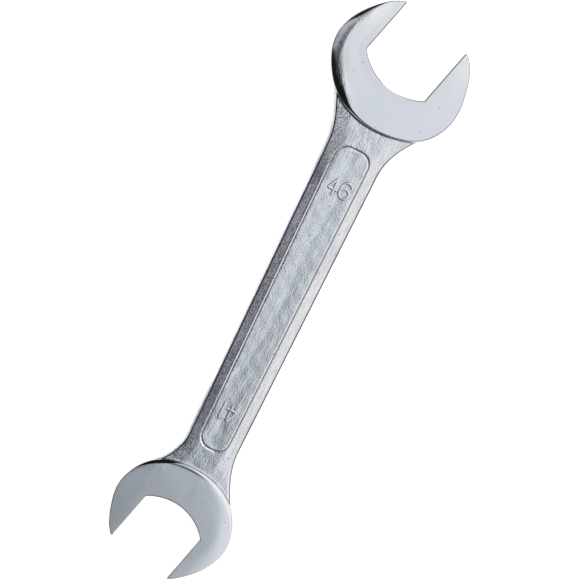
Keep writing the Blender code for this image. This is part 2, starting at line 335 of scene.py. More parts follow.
STEEP_SHARES = np.array([0, 0.35, 0.7, 1])
FLANK_SHARES = np.array([0, 0.07, 0.16, 0.3, 0.45, 0.6, 0.75, 0.87, 0.94, 1])
AT_FOOT = len(STEEP_SHARES) - 1
AT_RIDGE = AT_FOOT + len(FLANK_SHARES) - 1


def step_angles(head, side):
    """Angles of the seam's points from the silhouette in to the ridge, on one side."""
    outer = LEFT_JOINT if side > 0 else RIGHT_JOINT
    foot, ridge = crossings(head, side)
    return np.concatenate([outer + (foot - outer) * STEEP_SHARES, (foot + (ridge - foot) * FLANK_SHARES)[1:]])


LAND_COLUMNS = 55
SEAMS = {}
for _head in (LARGE, SMALL):
    _left, _right = step_angles(_head, 1), step_angles(_head, -1)
    _land = np.linspace(_left[-1], _right[-1], LAND_COLUMNS)[1:-1]
    SEAMS[_head.facing] = np.concatenate([_left, _land, _right[::-1]])


def seam_in_wrench(head):
    return head.facing * seam_plan(head, SEAMS[head.facing])


SEAM_CHAINS = [seam_in_wrench(head) for head in (LARGE, SMALL)]


def forged_height(points):
    """Height of shank and necks: the section, and a small concave rise at the foot of each step."""
    inside, _ = inside_edge(points)
    rise = sum(top * np.clip(1 - chain_distance(points, chain) / reach, 0, 1) ** 2
               for (reach, top), chain in zip(STEP_FILLETS, SEAM_CHAINS))
    return section_height(points) + rise * smooth(inside / 1.5)


# Where the panel's corners begin, as distances from mid-shank
LARGE_CORNER = LARGE.panel_end - PANEL_CORNER
SMALL_CORNER = SMALL.panel_end - PANEL_CORNER


def strip_rows(side, stations):
    """Plan of one bevelled side from the silhouette in to the ridge; every row ends on the seams of both steps.

    Stations run from -2 at the small head's step to 2 at the large one's, and are square across from -1 to 1.
    """
    ends = {head.facing: head.facing * seam_plan(head, step_angles(head, side * head.facing))
            for head in (LARGE, SMALL)}
    past = np.clip(np.abs(stations) - 1, 0, 1)
    lines = []
    for key, inset in ((0, lambda x: 0 * x), (AT_FOOT, lambda x: SIDE_RUN + 0 * x),
                       (AT_RIDGE, lambda x: SIDE_RUN + flank_width(x, side))):
        large = LARGE_CORNER * np.minimum(stations, 1) + (ends[1][key, 0] - LARGE_CORNER) * past
        small = SMALL_CORNER * np.maximum(stations, -1) + (ends[-1][key, 0] + SMALL_CORNER) * past
        x = np.where(stations >= 0, large, small)
        lines.append(pair(x, side * (half_width(x, side) - inset(x))))
    rows = np.concatenate([blend_rows(lines[0], lines[1], STEEP_SHARES)[:-1],
                           blend_rows(lines[1], lines[2], FLANK_SHARES)])
    large = (ends[1] - rows[:, -1])[:, None] * (past**2 * (stations >= 0))[None, :, None]
    small = (ends[-1] - rows[:, 0])[:, None] * (past**2 * (stations < 0))[None, :, None]
    return rows + large + small


# ---- panel

def panel_half(head):
    return straight_half_width(head.facing * (head.panel_end - PANEL_CORNER)) - PANEL_INSET


def panel_end_points(head, share):
    """Quarter of the panel's end, share 0 where its corner leaves the side and 1 on the centre line, with normals."""
    half = panel_half(head)
    arc = PANEL_CORNER * np.pi / 2
    travelled = share * (arc + half - PANEL_CORNER)
    turn = np.minimum(travelled / PANEL_CORNER, np.pi / 2)
    x = head.panel_end - PANEL_CORNER * (1 - np.sin(turn))
    y = half - PANEL_CORNER * (1 - np.cos(turn)) - np.maximum(travelled - arc, 0)
    return pair(x, y), pair(np.sin(turn), np.cos(turn))


def panel_side_half(x):
    """Half width of the panel between its two ends' corners, by a straight taper."""
    places = [-SMALL_CORNER, LARGE_CORNER]
    return np.interp(x, places, [panel_half(SMALL), panel_half(LARGE)])


def panel_level(inset):
    """Depth at an inset from the panel's lip: down to the groove, then up to the floor, with creases rounded."""
    return rounded(lambda e: np.interp(e, (0, GROOVE_AT, GROOVE_END), (0, -GROOVE_DEPTH, -PANEL_DEPTH)), inset, 0.13)


def closed(runs):
    """Matched runs joined end to end, each into a loop whose first point comes again at its end."""
    return [np.concatenate([*run, run[0][:1]]) for run in zip(*runs)]


def land_loops(strips):
    """Matched loops round the land, counter-clockwise: ridges and seams outside, the panel's lip inside.

    Along the sides a lip point has its ridge point's X; round an end it lies at the same share of the way.
    """
    runs = []
    ridges = {1: strips[1][-1][::-1], -1: strips[-1][-1]}
    for head, first, second in ((LARGE, -1, 1), (SMALL, 1, -1)):
        seam = seam_in_wrench(head)[AT_RIDGE:][:LAND_COLUMNS][::-1]
        corner = head.panel_end - PANEL_CORNER
        before = ridges[first][head.facing * ridges[first][:, 0] > corner]
        after = ridges[second][head.facing * ridges[second][:, 0] > corner]
        chain = np.concatenate([before[:-1], seam, after[1:]])
        middle = len(before) - 1 + int(np.argmin(np.abs(seam[:, 1])))
        steps = np.concatenate([[0], np.cumsum(np.linalg.norm(np.diff(chain, axis=0), axis=1))])
        lead = head.facing * chain[0, 0] - corner
        tail = head.facing * chain[-1, 0] - corner
        near = (steps + lead) / (steps[middle] + lead)
        far = (steps[-1] - steps + tail) / (steps[-1] - steps[middle] + tail)
        ahead = np.arange(len(chain)) > middle
        points, normal = panel_end_points(head, np.where(ahead, far, near))
        flip = head.facing * pair(np.ones(len(chain)), np.where(ahead, 1, -1))
        runs.append((chain, points * flip + [0, PANEL_SHIFT], normal * flip))
        ridge = ridges[second]
        straight = ridge[(ridge[:, 0] <= LARGE_CORNER) & (ridge[:, 0] >= -SMALL_CORNER)]
        x = straight[:, 0]
        runs.append((straight, pair(x, second * panel_side_half(x) + PANEL_SHIFT), pair(0 * x, second + 0 * x)))
    return closed(runs)


def floor_drop(points, share):
    """Sink of the panel's floor: a parabola in the share of the way from its foot to the centre line, and a crease.

    The crease is a bell curve across the panel, whose middle and depth swing along it, and it fades out at the foot.
    """
    x, y = points[..., 0], points[..., 1]
    middle = 0.7 * np.sin(0.09 * x) - 0.8 + 4.0 * np.exp(-((x + 57) / 24) ** 2)
    bell = np.exp(-((y - middle) / 2.7) ** 2) * (0.75 + 0.25 * np.sin(0.07 * x + 1))
    return PANEL_DISH * (1 - (1 - share) ** 2) + PANEL_CREASE * bell * smooth(share / 0.3)


def panel_rows(lip, normals):
    """Rows down the panel's wall and over its floor to the centre line, with their heights."""
    insets = np.array([0, 0.15, 0.3, 0.46, 0.55, 0.62, 0.7, 0.82, 1.05, 1.2, 1.35, 1.55])
    wall = lip[None] - normals[None] * insets[:, None, None]
    middle = np.clip(lip[:, 0], -(SMALL.panel_end - panel_half(SMALL)), LARGE.panel_end - panel_half(LARGE))
    shares = np.linspace(0, 1, 10) ** 1.2
    floor = blend_rows(wall[-1], pair(middle, 0 * middle + PANEL_SHIFT), shares)
    plan = np.concatenate([wall, floor[1:]])
    share = np.concatenate([0 * insets, shares[1:]])[:, None]
    level = panel_level(np.concatenate([insets, 0 * shares[1:] + insets[-1]]))[:, None]
    return plan, section_height(plan) + level - floor_drop(plan, share)


# ---- heads

def nose(head, side):
    """Rounded tip of one jaw: its apex, the rim angle and flat angle where the arc ends, and both halves of it."""
    half = head.jaw_width / 2 + NOSE_RADIUS
    bend = np.radians(np.linspace(12, 65, 3000))
    angles = bend if side > 0 else 2 * np.pi - bend
    normal = rim_normals(head, angles)
    offset = rim_in_jaw(head, angles) - NOSE_RADIUS * normal
    rim_angle = np.interp(half, side * offset[:, 1], angles)
    normal = rim_normals(head, np.array(rim_angle))
    centre = rim_in_jaw(head, np.array(rim_angle)) - NOSE_RADIUS * normal
    outer_end = math.atan2(normal[1], normal[0])
    inner_end = -side * np.pi / 2
    apex = (outer_end + inner_end) / 2
    share = np.linspace(0, 1, 6)
    outer, inner = [from_jaw(centre + NOSE_RADIUS * toward(apex + (end - apex) * share))
                    for end in (outer_end, inner_end)]
    flat_angle = math.atan2(side * head.jaw_width / 2, centre[0]) % (2 * np.pi)
    return rim_angle, flat_angle, outer, inner


def jaw_edge(head, angles):
    """Inner outline of a jaw in polar form: the nearer of its flats and its throat's arc, blended at the corners."""
    radius, depth, shift = head.throat
    centre = radius - depth
    flat = head.jaw_width / 2 / np.maximum(np.abs(np.sin(angles)), 1e-6)
    lean = centre * np.cos(angles) + shift * np.sin(angles)
    arc = lean + np.sqrt(lean**2 + radius**2 - centre**2 - shift**2)
    nearer = np.minimum(flat, arc)
    reach = nearer - 0.12 * np.log1p(np.exp(-np.abs(flat - arc) / 0.12))
    return from_jaw(reach[..., None] * toward(angles))


def edge_roll(head, angles):
    """Ground roll along the rim: width, drop, power, the face's crown and hollow, and the strength of the painted
    shade line along the edge.

    They are read from the head's table of angles in degrees and averaged over a few degrees.
    """
    table = np.array(head.roll)
    places = np.degrees(angles)
    spans = (-6, -3, 0, 3, 6)
    return [sum(np.interp(places + span, table[:, 0], table[:, key]) for span in spans) / len(spans)
            for key in range(1, 7)]


def head_columns(head):
    """Matched points on a head's outer and inner outline from its left tip round to its right tip."""
    left_angle, left_flat, left_outer, left_inner = nose(head, 1)
    right_angle, right_flat, right_outer, right_inner = nose(head, -1)
    seam = SEAMS[head.facing]
    step = math.radians(1.1)
    before = np.linspace(left_angle, LEFT_JOINT, int((LEFT_JOINT - left_angle) / step))
    after = np.linspace(RIGHT_JOINT, right_angle, int((right_angle - RIGHT_JOINT) / step))
    angles = np.concatenate([before, seam[1:-1], after])
    share = np.where(angles < STEP_MIDDLE, (angles - left_angle) / (STEP_MIDDLE - left_angle),
                     (right_angle - angles) / (right_angle - STEP_MIDDLE))
    turn = np.where(angles < STEP_MIDDLE, left_flat - left_angle, right_flat - right_angle)
    inner_angles = angles + (1 - share) * turn
    step_foot = seam_plan(head, seam[1:-1])
    outer = np.concatenate([from_jaw(rim_in_jaw(head, before)), step_foot, from_jaw(rim_in_jaw(head, after))])
    foot = np.concatenate([np.full(len(before), HEAD_BAND), forged_height(head.facing * step_foot),
                           np.full(len(after), HEAD_BAND)])
    count = len(left_outer) - 1
    return {"outer": np.concatenate([left_outer[:-1], outer, right_outer[:-1][::-1]]),
            "inner": np.concatenate([left_inner[:-1], jaw_edge(head, inner_angles), right_inner[:-1][::-1]]),
            "foot": np.concatenate([np.full(count, HEAD_BAND), foot, np.full(count, HEAD_BAND)]),
            "angles": np.concatenate([np.full(count, left_angle), angles, np.full(count, right_angle)]),
            "free": (count + len(before) - 1, count + len(before) + len(seam) - 2)}


def head_face(head, columns):
    """Grid of one head's upper face with its heights, and its marks: distances from rim and jaw, the strength of the
    painted shade line along the edge, skin.

    Height is the steep wall's straight rise, then the roll, whose drop is a power of the way left to the face, less
    the crown's parabola, the hollow's two cubic steps and the jaw's chamfer.
    """
    outer, inner = columns["outer"], columns["inner"]
    length = np.maximum(np.linalg.norm(inner - outer, axis=1), 1e-9)
    from_rim = np.array([0, 0.15, 0.35, 0.55, 0.75, 0.9, 1.05, 1.25, 1.5, 1.8, 2.15, 2.6, 3.1, 3.7, 4.4, 5.2, 6.1,
                         7.1, 8.2])
    from_edge = np.array([1.6, 0.9, 0.55, 0.4, 0.25, 0.1, 0])
    outer_shares = from_rim[:, None] * np.minimum(1 / length, 0.6 / from_rim[-1])
    inner_shares = 1 - from_edge[:, None] * np.minimum(1 / length, 0.25 / from_edge[0])
    between = np.linspace(0, 1, 6)[1:-1, None]
    middle_shares = outer_shares[-1] + (inner_shares[0] - outer_shares[-1]) * between
    shares = np.concatenate([outer_shares, middle_shares, inner_shares])
    plan = outer[None] + (inner - outer)[None] * shares[..., None]
    rim_gap = chain_distance(plan, outer)
    jaw_gap = chain_distance(plan, inner)
    width, drop, power, crown, hollow, line = edge_roll(head, columns["angles"])
    foot = columns["foot"][None]
    run = WALL_RUN * np.maximum(WALL_TOP - foot, 0.2) / (WALL_TOP - HEAD_BAND)

    def profile(across):
        top = FACE_HEIGHT - crown * np.clip(1 - across / CROWN_REACH, 0, 1) ** 2
        roll = top - drop * np.clip(1 - (across - run) / width, 0, 1) ** power
        sunk = hollow * smooth((across - 0.6) / 0.9) * smooth((20.0 - across) / 18.0)
        return np.where(across < run, foot + (top - drop - foot) * across / run, roll) - sunk

    height = rounded(profile, rim_gap, 0.16, foot)
    chamfer = rounded(lambda across: np.maximum(head.chamfer - across, 0), jaw_gap, 0.12)
    return plan, height - chamfer, (rim_gap, jaw_gap, line, np.clip((width - 2) / 3, 0, 1))


# ---- the mesh

MARKS = ("rim_distance", "jaw_distance", "painted_edge_shade", "roll_skin")
FAR = 60.0


class Skin:
    """Grids of quads gathered into one mesh, each with its finish and its marks for the materials."""

    PLAIN = (FAR, FAR, 0.0, 0.0)

    def __init__(self):
        self.points, self.quads, self.finish, self.marks, self.count = [], [], [], [], 0

    def add(self, plan, height, finish, marks=PLAIN):
        rows, columns = height.shape
        points = np.concatenate([plan, height[..., None]], axis=-1).reshape(-1, 3)
        corner = self.count + np.arange(rows * columns).reshape(rows, columns)
        quads = np.stack([corner[:-1, :-1], corner[:-1, 1:], corner[1:, 1:], corner[1:, :-1]], axis=-1).reshape(-1, 4)
        self.points.append(points)
        self.quads.append(quads)
        self.finish.append(np.broadcast_to(finish, (rows - 1, columns - 1)).reshape(-1))
        self.marks.append(np.stack([np.broadcast_to(mark, (rows, columns)).reshape(-1) for mark in marks], axis=-1))
        self.count += len(points)

    def both_faces(self, plan, height, finish, marks=PLAIN):
        self.add(plan, height, finish, marks)
        self.add(plan, -height, finish, marks)

    def mesh(self, name):
        points = (np.concatenate(self.points) + TO_MODEL) * MM
        marks = np.concatenate(self.marks)
        mesh = bpy.data.meshes.new(name)
        mesh.from_pydata(points, [], np.concatenate(self.quads))
        mesh.polygons.foreach_set("material_index", np.concatenate(self.finish).astype(np.int32))
        for column, label in enumerate(MARKS):
            layer = mesh.attributes.new(label, "FLOAT", "POINT")
            layer.data.foreach_set("value", marks[:, column].astype(np.float32))
        return mesh


def close_mesh(mesh):
    """Merges the points that neighbouring grids share, drops what that leaves flat, and turns every face outwards."""
    build = bmesh.new()
    build.from_mesh(mesh)
    bmesh.ops.remove_doubles(build, verts=build.verts, dist=2e-6)
    bmesh.ops.dissolve_degenerate(build, edges=build.edges, dist=1e-7)
    bmesh.ops.recalc_face_normals(build, faces=build.faces)
    build.to_mesh(mesh)
    build.free()
    mesh.shade_smooth()
    mesh.set_sharp_from_angle(angle=math.radians(38))


GROUND, FORGED, BROACHED = 0, 1, 2
# How far in from the silhouette the painted shade line along each side of the shank lies
PAINTED_OUTLINE_INSET = {1: 1.3, -1: 0.05}
LAND_SHARES = (0, 0.02, 0.045, 0.08, 0.125, 0.18, 0.25, 0.34, 0.44, 0.55, 0.66, 0.76, 0.85, 0.92, 0.97, 1)


def painted_step_shade(points):
    """Strength of the painted shade line in the corner at the foot of each step, standing in for the shade there: it
    falls off over half a millimetre.

    At the small head it grows towards +Y.
    """
    strengths = (0.1, np.interp(points[..., 1], (0, 20), (0.85, 1.0)))
    return sum(strength * np.clip(1.4 - chain_distance(points, chain) / 0.5, 0, 1)
               for strength, chain in zip(strengths, SEAM_CHAINS))


def add_band(skin, loop, top, finish, bulge):
    """Side wall all round: rows from the upper edge to the lower, drafted and with the trimmed flash line between."""
    along = np.roll(loop[:-1], -1, axis=0) - np.roll(loop[:-1], 1, axis=0)
    normal = unit(to_right(along))
    normal = np.concatenate([normal, normal[:1]])
    levels = np.array([1, 0.82, 0.6, 0.38, 0.2, 0, -0.2, -0.38, -0.6, -0.82, -1])
    height = levels[:, None] * top[None]
    stand = (0.03 * (1 - levels**2))[:, None] + 0.05 * np.exp(-(height / 0.45) ** 2)
    stand = stand * (1 - np.abs(levels) ** 8)[:, None] * bulge[None]
    skin.add(loop[None] + normal[None] * stand[..., None], height, finish[None, :-1], (0.0, FAR, 0.0, 0.0))


def forging_mesh():
    """Every grid of the forging, then the band that joins its two faces."""
    skin = Skin()
    stations = np.concatenate([np.linspace(-2, -1, 33)[:-1], np.linspace(-1, 1, 171), np.linspace(1, 2, 33)[1:]])
    strips = {side: strip_rows(side, stations) for side in (1, -1)}
    for side, plan in strips.items():
        # On the strips, rim_distance counts from the painted shade line set in from the silhouette
        rim = np.maximum(inside_edge(plan)[0] - PAINTED_OUTLINE_INSET[side], 0)
        skin.both_faces(plan, forged_height(plan), FORGED, (rim, FAR, painted_step_shade(plan), 0.0))
    outer, lip, normals = land_loops(strips)
    land = blend_rows(outer, lip, LAND_SHARES)
    height = forged_height(land) + panel_level(-chain_distance(land, lip))
    skin.both_faces(land, height, FORGED, (FAR, FAR, painted_step_shade(land), 0.0))
    plan, depth = panel_rows(lip, normals)
    skin.both_faces(plan, depth, FORGED)

    runs = []

    def chain(points, top, finish, bulge):
        runs.append((points[:-1], top[:-1], np.full(len(points) - 1, finish), bulge[:-1]))

    faces = {}
    for head in (LARGE, SMALL):
        columns = head_columns(head)
        plan, height, marks = head_face(head, columns)
        plan = head.facing * plan
        faces[head.facing] = (plan, height, columns["free"])
        skin.both_faces(plan, height, GROUND, marks)
    for side, head in ((1, SMALL), (-1, LARGE)):
        edge = strips[side][0][::-side]
        chain(edge, forged_height(edge), FORGED, np.ones(len(edge)))
        plan, height, (left, right) = faces[head.facing]
        count = plan.shape[1]
        fade = smooth(np.minimum(np.arange(count), np.arange(count)[::-1]) / 8)
        chain(plan[0, right:], height[0, right:], FORGED, fade[right:])
        chain(plan[-1, ::-1], height[-1, ::-1], BROACHED, np.zeros(count))
        chain(plan[0, :left + 1], height[0, :left + 1], FORGED, fade[:left + 1])
    add_band(skin, *closed(runs))
    return skin.mesh("wrench_body")


body_mesh = forging_mesh()
close_mesh(body_mesh)


# ---- size figures

PATH_SPACING = 0.35
STROKE_HALF_WIDTH = 0.78
STROKE_STAND = 0.55


def rounded_path(corners, radius):
    """Path through corner points, each corner cut by a parabola that starts and ends a radius away from it."""
    corners = np.asarray(corners, float)
    pieces = [corners[:1]]
    t = np.linspace(0, 1, 7)[:, None]
    for before, corner, after in zip(corners, corners[1:], corners[2:]):
        reach = [min(radius, 0.5 * np.linalg.norm(end - corner)) for end in (before, after)]
        start = corner + (before - corner) * reach[0] / np.linalg.norm(before - corner)
        stop = corner + (after - corner) * reach[1] / np.linalg.norm(after - corner)
        pieces.append((1 - t) ** 2 * start + 2 * t * (1 - t) * corner + t**2 * stop)
    pieces.append(corners[-1:])
    path = np.concatenate(pieces)
    steps = np.concatenate([[0], np.cumsum(np.linalg.norm(np.diff(path, axis=0), axis=1))])
    even = np.linspace(0, steps[-1], max(int(steps[-1] / PATH_SPACING), 4))
    return np.stack([np.interp(even, steps, path[:, axis]) for axis in (0, 1)], axis=-1)


def oval_path(centre, radii, start, stop, count):
    """Part of an oval between two angles in degrees."""
    turn = np.radians(np.linspace(start, stop, count))
    return np.asarray(centre) + np.asarray(radii) * toward(turn)


FOUR = (rounded_path([(4.2, -0.1), (4.2, 10.2), (0.5, 3.1), (6.1, 3.1)], 0.7),)
SIX = (np.concatenate([oval_path((4.0, 6.6), (3.1, 3.4), 28, 170, 20), rounded_path([(0.75, 6.6), (0.7, 3.6)], 0.4),
                       oval_path((3.6, 3.1), (2.9, 2.9), 185, 500, 40)]),)
ONE = (rounded_path([(0.9, 8.3), (2.7, 10.2), (2.7, -0.1)], 0.5),)


def panel_floor(points):
    """Height of the panel's floor over the parting plane, away from its ends."""
    half = panel_side_half(points[..., 0]) - 1.5
    share = 1 - np.clip(np.abs(points[..., 1] - PANEL_SHIFT) / half, 0, 1)
    return section_height(points) - PANEL_DEPTH - floor_drop(points, share)


def stroke_grid(path):
    """Raised stroke: a drafted ridge with a softly rounded top carried along a path, with round ends.

    Its section is a closed loop whose foot lies under the panel's floor; past each end the section narrows as the
    cosine of an angle while it moves on by the sine, so the end closes as half a circle.
    """
    across = np.array([-1.35, -1.0, -0.82, -0.6, -0.3, 0, 0.3, 0.6, 0.82, 1.0, 1.35, 0])
    level = np.array([-0.3, 0.5, 0.8, 0.95, 1.0, 1.0, 1.0, 0.95, 0.8, 0.5, -0.3, -0.5])
    along = unit(np.gradient(path, axis=0))
    turn = np.linspace(0, np.pi / 2, 6)[1:]
    reach = STROKE_HALF_WIDTH * np.sin(turn)[:, None]
    centre = np.concatenate([(path[:1] - reach * along[:1])[::-1], path, path[-1:] + reach * along[-1:]])
    direction = np.concatenate([np.repeat(along[:1], 5, axis=0), along, np.repeat(along[-1:], 5, axis=0)])
    width = np.concatenate([np.cos(turn)[::-1], np.ones(len(path)), np.cos(turn)])
    normal = -to_right(direction)
    plan = centre[:, None] + normal[:, None] * (across[None, :, None] * STROKE_HALF_WIDTH * width[:, None, None])
    lower = 1 - 0.35 * (1 - width) ** 2
    return plan, STROKE_STAND * level[None] * lower[:, None]


def figures_mesh(name, strokes, corner, up):
    """Figures raised on the panel's floor: corner is where they start, up is 1 where their tops face +X."""
    points, quads, count = [], [], 0
    for shift, paths in strokes:
        for path in paths:
            plan, level = stroke_grid(path + np.array([shift, 0]))
            plan = np.asarray(corner) + up * to_right(plan)
            height = panel_floor(plan) + level
            rows, columns = level.shape
            index = count + np.arange(rows * columns).reshape(rows, columns)
            after = np.roll(index, -1, axis=1)
            quads.append(np.stack([index[:-1], after[:-1], after[1:], index[1:]], axis=-1).reshape(-1, 4))
            points.append(np.concatenate([plan, height[..., None]], axis=-1).reshape(-1, 3))
            count += rows * columns
    mesh = bpy.data.meshes.new(name)
    mesh.from_pydata((np.concatenate(points) + TO_MODEL) * MM, [], np.concatenate(quads))
    close_mesh(mesh)
    return mesh


# ---- nodes

class Nodes:
    """A node tree with short calls that add to it; each value is a number, a colour or the socket that feeds it."""

    def __init__(self, tree):
        self.tree = tree

    def feed(self, socket, value):
        if isinstance(value, bpy.types.NodeSocket):
            self.tree.links.new(value, socket)
        else:
            socket.default_value = value

    def add(self, kind, inputs, **settings):
        """Adds a node and gives its outputs."""
        node = self.tree.nodes.new("ShaderNode" + kind)
        for name, value in settings.items():
            setattr(node, name, value)
        for key, value in inputs.items():
            self.feed(node.inputs[key], value)
        return node.outputs

    def maths(self, operation, first, *others):
        """One operation carried through its values from the left."""
        for other in others:
            first = self.add("Math", {0: first, 1: other}, operation=operation)[0]
        return first

    times = partialmethod(maths, "MULTIPLY")
    plus = partialmethod(maths, "ADD")
    less = partialmethod(maths, "SUBTRACT")
    most = partialmethod(maths, "MAXIMUM")

    def apart(self, value, middle):
        """Distance of a value from a middle."""
        return self.add("Math", {0: self.less(value, middle)}, operation="ABSOLUTE")[0]

    def spread(self, value, low, high, to_low=0.0, to_high=1.0, shape="LINEAR"):
        """Maps a value's range onto another one, held at its ends."""
        return self.add("MapRange", {"Value": value, "From Min": low, "From Max": high, "To Min": to_low,
                                     "To Max": to_high}, clamp=True, interpolation_type=shape)["Result"]

    def ease(self, *values):
        """Spread whose two ends are soft."""
        return self.spread(*values, shape="SMOOTHSTEP")

    def mix(self, share, first, second):
        return self.add("Mix", {0: share, 6: first, 7: second}, data_type="RGBA")[2]

    def noise(self, place, scale, detail, roughness=0.5, distortion=0.0):
        return self.add("TexNoise", {"Vector": place, "Scale": scale, "Detail": detail, "Roughness": roughness,
                                     "Distortion": distortion})["Fac"]

    def drawn(self, place, scale):
        """Places scaled down along an axis, which draws a pattern out along it."""
        return self.add("Mapping", {"Vector": place, "Scale": scale})[0]

    def axes(self, place):
        return self.add("SeparateXYZ", {"Vector": place})

    def mark(self, name):
        return self.add("Attribute", {}, attribute_name=name)["Fac"]

    def group(self, group, **inputs):
        return self.add("Group", inputs, node_tree=group)


def new_group(name, outputs, **inputs):
    """Node group with float outputs, by their names, and inputs, by name and kind."""
    group = bpy.data.node_groups.new(name, "ShaderNodeTree")
    for label, kind in inputs.items():
        group.interface.new_socket(name=label, in_out="INPUT", socket_type="NodeSocket" + kind)
    for label in outputs:
        group.interface.new_socket(name=label, in_out="OUTPUT", socket_type="NodeSocketFloat")
    return Nodes(group), group.nodes.new("NodeGroupInput").outputs, group.nodes.new("NodeGroupOutput").inputs


# ---- finishes

def forged_grain_group():
    """Skin that the dies and the shot leave under chrome: grain, drawn-out streaks along the shank, wide patches.

    Height is mostly the grain; Speckle and Patch are masks from 0 to 1.
    """
    n, given, out = new_group("forged_grain", ("Height", "Speckle", "Patch"),
                              Vector="Vector", Grain="Float", Streaks="Float")
    place = given["Vector"]
    grain = n.noise(place, given["Grain"], 1.5, 0.5)
    streak = n.noise(n.drawn(place, (0.22, 1.0, 1.0)), 620.0, 2.0, 0.55)
    patch = n.noise(n.drawn(place, (0.25, 1.0, 1.0)), 130.0, 3.0, 0.6, 0.4)
    lump = n.noise(place, 330.0, 2.0, 0.5)
    height = n.plus(grain, n.times(streak, given["Streaks"]), n.times(lump, 0.12))
    n.feed(out["Height"], n.times(height, n.spread(patch, 0.38, 0.64, 0.5, 1.1)))
    n.feed(out["Speckle"], n.spread(n.plus(n.times(grain, 0.55), n.times(streak, 0.45)), 0.44, 0.66))
    n.feed(out["Patch"], n.spread(patch, 0.35, 0.65))
    return n.tree


def pits_group():
    """Small pits in the plate: round dips in some of the cells of a coarse pattern. Mask is 1 in a pit."""
    n, given, out = new_group("plate_pits", ("Mask",), Vector="Vector", Cells="Float", Size="Float")
    place = given["Vector"]
    cells = n.add("TexVoronoi", {"Vector": place, "Scale": given["Cells"], "Randomness": 1.0})
    chosen = n.spread(n.noise(place, 60.0, 1.0), 0.5, 0.56)
    n.feed(out["Mask"], n.times(n.maths("LESS_THAN", cells["Distance"], given["Size"]), chosen))
    return n.tree


def ground_lines_group():
    """Fine lines of grinding and polishing: noise drawn out along one direction, turned by an angle about Z."""
    n, given, out = new_group("ground_lines", ("Lines",), Vector="Vector", Turn="Vector")
    turned = n.add("VectorRotate", {"Vector": given["Vector"], "Rotation": given["Turn"]},
                   rotation_type="EULER_XYZ")[0]
    n.feed(out["Lines"], n.noise(n.drawn(turned, (0.035, 1.0, 0.3)), 1900.0, 3.0, 0.6))
    return n.tree


FORGED_GRAIN = forged_grain_group()
PLATE_PITS = pits_group()
GROUND_LINES = ground_lines_group()

# Colour of painted shade: dark lines at the outlines, along rims and jaws, in the corners at the foot of the steps,
# and a crescent on the small head
PAINTED_SHADE_COLOUR = (0.08, 0.085, 0.10, 1)
GRINDING_TURN = math.radians(15)
PARTING_LEVEL = 0.0075
WALL_TO_FACE = (0.0025, 0.0034)


def metal(name):
    material = bpy.data.materials.new(name)
    material.use_nodes = True
    n = Nodes(material.node_tree)
    n.tree.nodes["Principled BSDF"].inputs["Metallic"].default_value = 1.0
    return material, n, n.add("TexCoord", {})["Object"]


def plated(material, n, tint, roughness, height, relief):
    """Feeds the metal's shader; relief is how far its height of 1 stands out, in metres."""
    shader = n.tree.nodes["Principled BSDF"].inputs
    n.feed(shader["Base Color"], tint)
    n.feed(shader["Roughness"], roughness)
    n.feed(shader["Normal"], n.add("Bump", {"Strength": 1.0, "Distance": relief, "Height": height})[0])
    return material


def forged_chrome():
    """Chrome over the forged skin of shank, necks, panel and edges.

    The neck mask roughens the +Y flanks of both necks; specks and most of the relief stay off the upright walls.
    """
    material, n, place = metal("chrome_over_forged_skin")
    grain = n.group(FORGED_GRAIN, Vector=place, Grain=1350.0, Streaks=0.2)
    pits = n.group(PLATE_PITS, Vector=place, Cells=210.0, Size=0.11)["Mask"]
    axis = n.axes(place)
    along, up = n.apart(axis["X"], 0.0), n.apart(axis["Z"], PARTING_LEVEL)
    neck = n.times(n.spread(along, 0.066, 0.077), n.spread(along, 0.106, 0.096),
                   n.spread(axis["Y"], 0.0095, 0.0112))
    specks = n.times(n.spread(n.noise(place, 880.0, 1.5, 0.6), 0.45, 0.58),
                     n.most(n.spread(axis["Y"], 0.0128, 0.0138), neck), n.spread(up, *WALL_TO_FACE))
    tint = n.mix(grain["Patch"], (0.71, 0.74, 0.80, 1), (0.80, 0.82, 0.87, 1))
    tint = n.mix(n.most(n.times(grain["Speckle"], 0.5), specks), tint, (0.40, 0.42, 0.48, 1))
    tint = n.mix(n.times(pits, 0.6), tint, (0.2, 0.2, 0.22, 1))
    # Painted shade: a dark line just in from the outline of the shank's sides, and in the corners at the foot of the
    # steps, standing in for shade and dark reflections
    rim = n.mark("rim_distance")
    seam = n.times(n.spread(rim, 0.0, 0.12), n.spread(rim, 1.05, 0.7), 0.95)
    tint = n.mix(n.most(seam, n.mark("painted_edge_shade")), tint, PAINTED_SHADE_COLOUR)
    rough = n.plus(n.spread(grain["Patch"], 0, 1, 0.13, 0.20), n.times(grain["Speckle"], 0.06), n.times(neck, 0.34))
    height = n.times(n.less(grain["Height"], n.times(pits, 0.8)), n.spread(up, *WALL_TO_FACE, 0.2, 1.0))
    return plated(material, n, tint, rough, height, 0.00011)


